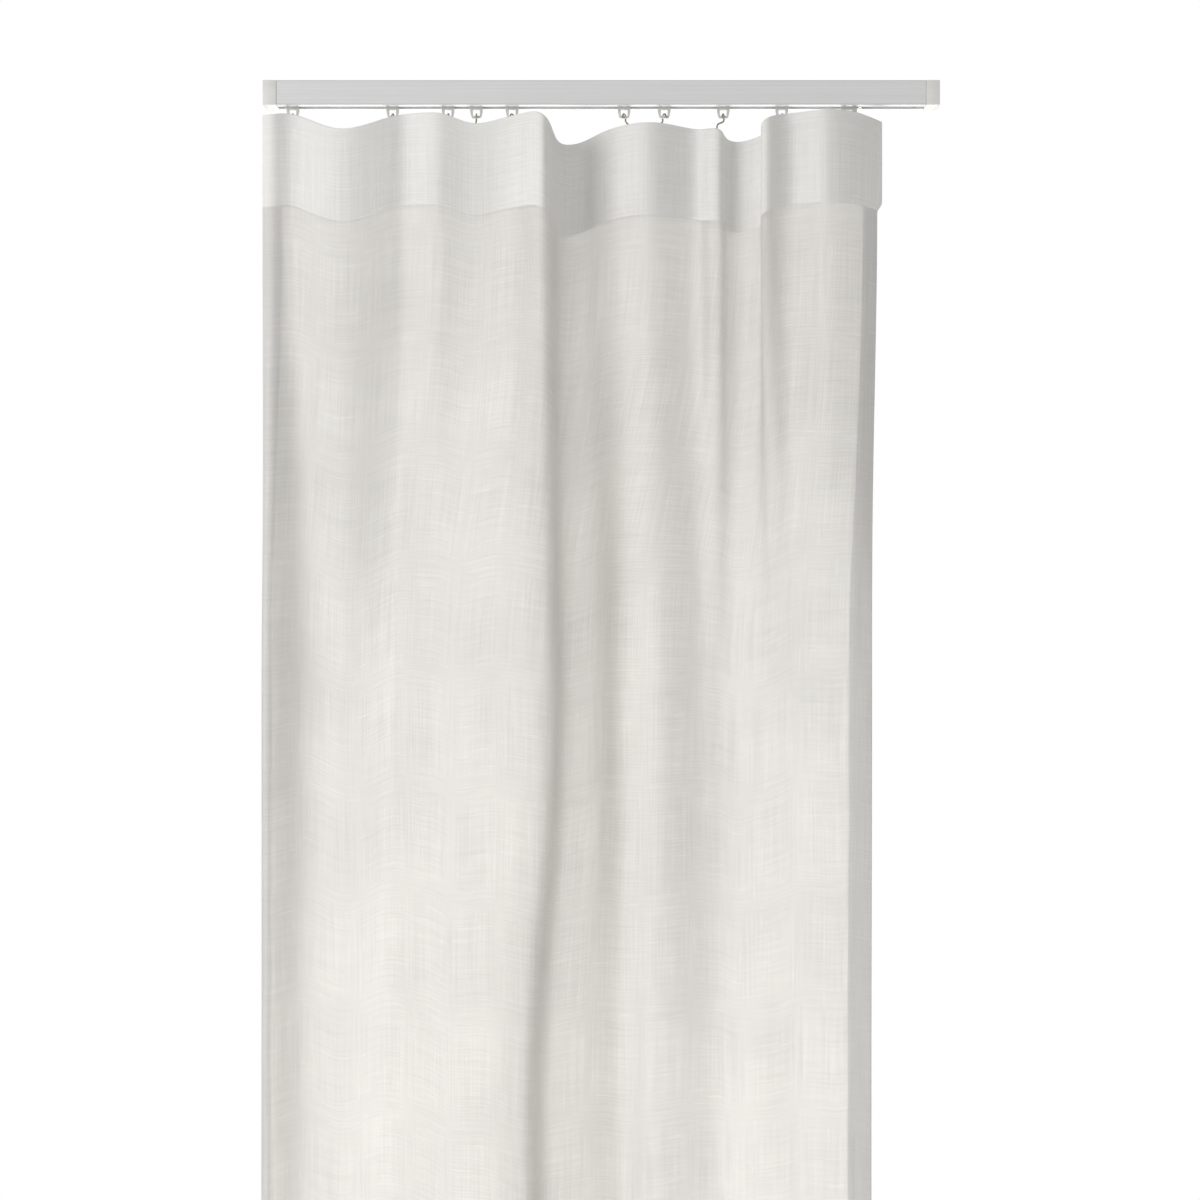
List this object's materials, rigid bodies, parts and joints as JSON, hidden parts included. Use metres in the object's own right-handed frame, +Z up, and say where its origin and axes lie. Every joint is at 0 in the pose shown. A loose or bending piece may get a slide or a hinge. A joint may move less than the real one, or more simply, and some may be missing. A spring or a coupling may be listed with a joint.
{
  "type": "curtain panel on a ceiling track",
  "caption": "Full-length linen curtain panel with a doubled heading, gathered on wire hooks and plastic gliders that slide in a slim ceiling track.",
  "frame": {"origin": "middle of the track's top face, which lies against the ceiling", "axes": "+X along the track from the curtain's leading edge to its closing edge, +Y back to the window, +Z up"},
  "size_m": [0.6785, 0.1247, 2.5457],
  "materials": {
    "rail_lacquer": "matt light-grey lacquer on extruded aluminium",
    "cap_plastic": "matt light-grey moulding",
    "glider_plastic": "milky translucent moulding",
    "stop_plastic": "grey moulding",
    "hook_steel": "dark bronzed wire",
    "linen": "off-white slubby linen weave, slightly sheer",
    "tape_cotton": "white woven heading tape and cord"
  },
  "bodies": {
    "track": {"track_rail": "rail_lacquer", "end_cap_left": "cap_plastic", "end_cap_right": "cap_plastic", "end_stop": "stop_plastic", "end_stop_screw": "hook_steel"},
    "glider_1": {"glider_1": "glider_plastic"},
    "glider_2": {"glider_2": "glider_plastic"},
    "glider_3": {"glider_3": "glider_plastic"},
    "glider_4": {"glider_4": "glider_plastic"},
    "glider_5": {"glider_5": "glider_plastic"},
    "glider_6": {"glider_6": "glider_plastic"},
    "glider_7": {"glider_7": "glider_plastic"},
    "glider_8": {"glider_8": "glider_plastic"},
    "glider_9": {"glider_9": "glider_plastic"},
    "hook_1": {"hook_1": "hook_steel"},
    "hook_2": {"hook_2": "hook_steel"},
    "hook_3": {"hook_3": "hook_steel"},
    "hook_4": {"hook_4": "hook_steel"},
    "hook_5": {"hook_5": "hook_steel"},
    "hook_6": {"hook_6": "hook_steel"},
    "hook_7": {"hook_7": "hook_steel"},
    "hook_8": {"hook_8": "hook_steel"},
    "hook_9": {"hook_9": "hook_steel"},
    "hook_10": {"hook_10": "hook_steel"},
    "panel": {"curtain_panel": "linen", "heading_band": "linen", "side_hem_left": "linen", "side_hem_right": "linen", "bottom_hem": "linen", "heading_tape": "tape_cotton", "gather_cord_upper": "tape_cotton", "gather_cord_lower": "tape_cotton"}
  },
  "joints": [
    {"name": "curtain_draw", "type": "slide", "parent": "track", "child": "glider_1", "axis": [1, 0, 0], "range_m": [0, 0.28], "deforming": ["curtain_panel", "heading_band", "side_hem_left", "side_hem_right", "bottom_hem", "heading_tape", "gather_cord_upper", "gather_cord_lower"]},
    {"name": "glider_2_slide", "type": "slide", "parent": "track", "child": "glider_2", "axis": [1, 0, 0], "range_m": [0, 0.22978]},
    {"name": "glider_3_slide", "type": "slide", "parent": "track", "child": "glider_3", "axis": [1, 0, 0], "range_m": [0, 0.20187]},
    {"name": "glider_4_slide", "type": "slide", "parent": "track", "child": "glider_4", "axis": [1, 0, 0], "range_m": [0, 0.18761]},
    {"name": "glider_5_slide", "type": "slide", "parent": "track", "child": "glider_5", "axis": [1, 0, 0], "range_m": [0, 0.16962]},
    {"name": "glider_6_slide", "type": "slide", "parent": "track", "child": "glider_6", "axis": [1, 0, 0], "range_m": [0, 0.11319]},
    {"name": "glider_7_slide", "type": "slide", "parent": "track", "child": "glider_7", "axis": [1, 0, 0], "range_m": [0, 0.09303]},
    {"name": "glider_8_slide", "type": "slide", "parent": "track", "child": "glider_8", "axis": [1, 0, 0], "range_m": [0, 0.06327]},
    {"name": "glider_9_slide", "type": "slide", "parent": "track", "child": "glider_9", "axis": [1, 0, 0], "range_m": [0, 0.03381]},
    {"name": "panel_swing", "type": "hinge", "parent": "track", "child": "panel", "pos_m": [0, 0, -0.0345], "axis": [1, 0, 0], "range_deg": [-8, 8]},
    {"name": "hook_1_swing", "type": "hinge", "parent": "glider_1", "child": "hook_1", "pos_m": [-0.31048, 0, -0.0345], "axis": [1, 0, 0], "range_deg": [-8.01, 8.01]},
    {"name": "hook_2_swing", "type": "hinge", "parent": "glider_2", "child": "hook_2", "pos_m": [-0.21004, 0, -0.0345], "axis": [1, 0, 0], "range_deg": [-8.01, 8.01]},
    {"name": "hook_3_swing", "type": "hinge", "parent": "glider_3", "child": "hook_3", "pos_m": [-0.15424, 0, -0.0345], "axis": [1, 0, 0], "range_deg": [-8.01, 8.01]},
    {"name": "hook_4_swing", "type": "hinge", "parent": "glider_4", "child": "hook_4", "pos_m": [-0.12572, 0, -0.0345], "axis": [1, 0, 0], "range_deg": [-8.01, 8.01]},
    {"name": "hook_5_swing", "type": "hinge", "parent": "glider_5", "child": "hook_5", "pos_m": [-0.08976, 0, -0.0345], "axis": [1, 0, 0], "range_deg": [-8.01, 8.01]},
    {"name": "hook_6_swing", "type": "hinge", "parent": "glider_6", "child": "hook_6", "pos_m": [0.02308, 0, -0.0345], "axis": [1, 0, 0], "range_deg": [-8.01, 8.01]},
    {"name": "hook_7_swing", "type": "hinge", "parent": "glider_7", "child": "hook_7", "pos_m": [0.06338, 0, -0.0345], "axis": [1, 0, 0], "range_deg": [-8.01, 8.01]},
    {"name": "hook_8_swing", "type": "hinge", "parent": "glider_8", "child": "hook_8", "pos_m": [0.1229, 0, -0.0345], "axis": [1, 0, 0], "range_deg": [-8.01, 8.01]},
    {"name": "hook_9_swing", "type": "hinge", "parent": "glider_9", "child": "hook_9", "pos_m": [0.1818, 0, -0.0345], "axis": [1, 0, 0], "range_deg": [-8.01, 8.01]},
    {"name": "hook_10_swing", "type": "hinge", "parent": "track", "child": "hook_10", "pos_m": [0.24938, 0, -0.0345], "axis": [1, 0, 0], "range_deg": [-8.01, 8.01]}
  ],
  "couplings": [
    {"joint": "glider_2_slide", "follows": "curtain_draw", "ratio": 0.8206},
    {"joint": "glider_3_slide", "follows": "curtain_draw", "ratio": 0.72093},
    {"joint": "glider_4_slide", "follows": "curtain_draw", "ratio": 0.66999},
    {"joint": "glider_5_slide", "follows": "curtain_draw", "ratio": 0.60576},
    {"joint": "glider_6_slide", "follows": "curtain_draw", "ratio": 0.40421},
    {"joint": "glider_7_slide", "follows": "curtain_draw", "ratio": 0.33223},
    {"joint": "glider_8_slide", "follows": "curtain_draw", "ratio": 0.22591},
    {"joint": "glider_9_slide", "follows": "curtain_draw", "ratio": 0.12071},
    {"joint": "hook_1_swing", "follows": "panel_swing", "ratio": 1},
    {"joint": "hook_2_swing", "follows": "panel_swing", "ratio": 1},
    {"joint": "hook_3_swing", "follows": "panel_swing", "ratio": 1},
    {"joint": "hook_4_swing", "follows": "panel_swing", "ratio": 1},
    {"joint": "hook_5_swing", "follows": "panel_swing", "ratio": 1},
    {"joint": "hook_6_swing", "follows": "panel_swing", "ratio": 1},
    {"joint": "hook_7_swing", "follows": "panel_swing", "ratio": 1},
    {"joint": "hook_8_swing", "follows": "panel_swing", "ratio": 1},
    {"joint": "hook_9_swing", "follows": "panel_swing", "ratio": 1},
    {"joint": "hook_10_swing", "follows": "panel_swing", "ratio": 1}
  ]
}
